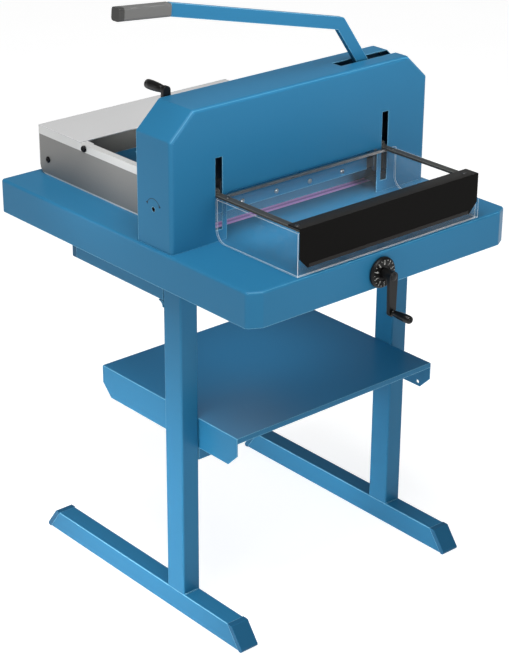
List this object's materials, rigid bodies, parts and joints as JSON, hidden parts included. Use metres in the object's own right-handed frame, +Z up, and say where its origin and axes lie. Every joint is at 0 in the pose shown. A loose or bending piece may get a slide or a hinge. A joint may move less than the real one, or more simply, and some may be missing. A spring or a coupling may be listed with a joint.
{
  "type": "stack paper cutter",
  "caption": "Free-standing stack paper cutter with knife lever, clamp crank, back gauge crank, hinged clear front guard, rear cover and shelf stand",
  "frame": {"origin": "on the floor, at the middle of the whole machine's outline seen from above, lever grip and front crank included", "axes": "+Z up, +Y from the operator's side to the back, +X to the operator's right along the housing"},
  "size_m": [0.7776, 0.9107, 1.3222],
  "materials": {
    "stand_enamel": "gloss blue enamel",
    "shelf_enamel": "gloss blue enamel",
    "table_enamel": "gloss blue enamel",
    "housing_enamel": "gloss blue enamel",
    "zinc_screws": "zinc plated",
    "black_screws": "blacked steel",
    "frame_steel": "machined steel",
    "knife_steel": "ground steel",
    "bronze": "sintered bronze",
    "stick_plastic": "pink plastic",
    "clamp_paint": "grey enamel",
    "lever_steel": "gloss blue enamel",
    "grip_plastic": "grey grip",
    "cap_plastic": "dark grey cap",
    "clear_acrylic": "clear acrylic",
    "black_panel": "satin black",
    "arm_paint": "dark grey paint",
    "rod_aluminium": "satin aluminium",
    "hinge_zinc": "zinc plated",
    "guard_aluminium": "brushed aluminium",
    "cover_grey": "light grey paint",
    "gauge_aluminium": "milled aluminium",
    "dial_black": "black dial",
    "crank_steel": "black",
    "crank_plastic": "black plastic"
  },
  "bodies": {
    "frame": {"left_foot": "stand_enamel", "right_foot": "stand_enamel", "tube_end_caps": "stand_enamel", "left_post": "stand_enamel", "right_post": "stand_enamel", "left_top_rail": "stand_enamel", "right_top_rail": "stand_enamel", "left_shelf_bracket": "stand_enamel", "right_shelf_bracket": "stand_enamel", "shelf": "shelf_enamel", "table_top": "table_enamel", "housing_shell": "housing_enamel", "housing_back": "housing_enamel", "throat_plate": "housing_enamel", "shelf_screws": "zinc_screws", "frame_bolts": "zinc_screws", "throat_screws": "zinc_screws", "rear_guard_screws": "black_screws", "left_side_frame": "frame_steel", "right_side_frame": "frame_steel", "front_beam": "frame_steel", "rear_beam": "frame_steel", "knife_guide_frame": "frame_steel", "clamp_guides": "frame_steel", "lever_bushes": "bronze", "spindle_bearings": "bronze", "cutting_stick": "stick_plastic", "rear_guard_back": "arm_paint", "guard_hinges": "hinge_zinc", "rear_guard_left_side": "guard_aluminium", "rear_guard_right_side": "guard_aluminium", "side_guide": "guard_aluminium"},
    "lever": {"lever_bar": "lever_steel", "lever_grip": "grip_plastic", "lever_grip_cap": "cap_plastic", "lever_shaft": "frame_steel", "crank_pin": "frame_steel"},
    "link": {"drive_link": "frame_steel"},
    "knife_body": {"knife_carrier": "frame_steel", "knife": "knife_steel", "knife_screws": "zinc_screws"},
    "clamp": {"clamp_beam": "clamp_paint", "clamp_rack": "frame_steel"},
    "clamp_crank": {"clamp_shaft": "frame_steel", "clamp_crank_arm": "crank_steel"},
    "clamp_grip": {"clamp_crank_grip": "crank_plastic"},
    "guard": {"guard_hood": "clear_acrylic", "guard_front_panel": "black_panel", "guard_left_arm": "arm_paint", "guard_right_arm": "arm_paint", "guard_rod": "rod_aluminium", "guard_screws": "zinc_screws"},
    "rear_lid": {"rear_cover": "cover_grey"},
    "gauge": {"back_gauge": "gauge_aluminium", "gauge_nut": "frame_steel"},
    "gauge_crank": {"gauge_spindle": "frame_steel", "front_dial": "dial_black", "front_crank_arm": "crank_steel"},
    "gauge_grip": {"front_crank_grip": "crank_plastic"},
    "adjuster": {"depth_adjuster": "black_screws"}
  },
  "joints": [
    {"name": "lever_swing", "type": "hinge", "parent": "frame", "child": "lever", "pos_m": [0.32933, -0.07218, 0.975], "axis": [0, 1, 0], "range_deg": [0, 100]},
    {"name": "link_turn", "type": "hinge", "parent": "lever", "child": "link", "pos_m": [0.34777, -0.07218, 0.99699], "axis": [0, 1, 0], "range_deg": [-100, 0]},
    {"name": "knife_drop", "type": "slide", "parent": "frame", "child": "knife_body", "axis": [0, 0, -1], "range_m": [0, 0.04364]},
    {"name": "clamp_crank_turn", "type": "hinge", "parent": "frame", "child": "clamp_crank", "pos_m": [-0.22767, -0.01868, 1.045], "axis": [0, 1, 0], "range_deg": [0, 190.99]},
    {"name": "clamp_lift", "type": "slide", "parent": "frame", "child": "clamp", "axis": [0, 0, 1], "range_m": [0, 0.04001]},
    {"name": "clamp_grip_spin", "type": "hinge", "parent": "clamp_crank", "child": "clamp_grip", "pos_m": [-0.22767, 0.01132, 1.121], "axis": [0, 1, 0], "continuous": true},
    {"name": "guard_swing", "type": "hinge", "parent": "frame", "child": "guard", "pos_m": [0.03783, -0.10968, 0.929], "axis": [-1, 0, 0], "range_deg": [0, 50]},
    {"name": "rear_cover_swing", "type": "hinge", "parent": "frame", "child": "rear_lid", "pos_m": [0.03783, 0.27032, 0.9265], "axis": [1, 0, 0], "range_deg": [0, 90]},
    {"name": "gauge_crank_turn", "type": "hinge", "parent": "frame", "child": "gauge_crank", "pos_m": [0.01933, -0.36768, 0.789], "axis": [0, 1, 0], "range_deg": [-6840, 7200]},
    {"name": "gauge_slide", "type": "slide", "parent": "frame", "child": "gauge", "axis": [0, 1, 0], "range_m": [-0.19001, 0.20001]},
    {"name": "gauge_grip_spin", "type": "hinge", "parent": "gauge_crank", "child": "gauge_grip", "pos_m": [0.01933, -0.41768, 0.714], "axis": [0, 1, 0], "continuous": true},
    {"name": "depth_adjuster_turn", "type": "hinge", "parent": "frame", "child": "adjuster", "pos_m": [-0.30617, -0.06868, 0.911], "axis": [1, 0, 0], "range_deg": [-90, 90]}
  ],
  "couplings": [
    {"joint": "link_turn", "follows": "lever_swing", "ratio": -1},
    {"joint": "knife_drop", "follows": "lever_swing", "m_per_rad": 0.025},
    {"joint": "clamp_lift", "follows": "clamp_crank_turn", "m_per_rad": 0.012},
    {"joint": "gauge_slide", "follows": "gauge_crank_turn", "m_per_rad": 0.0015915}
  ]
}
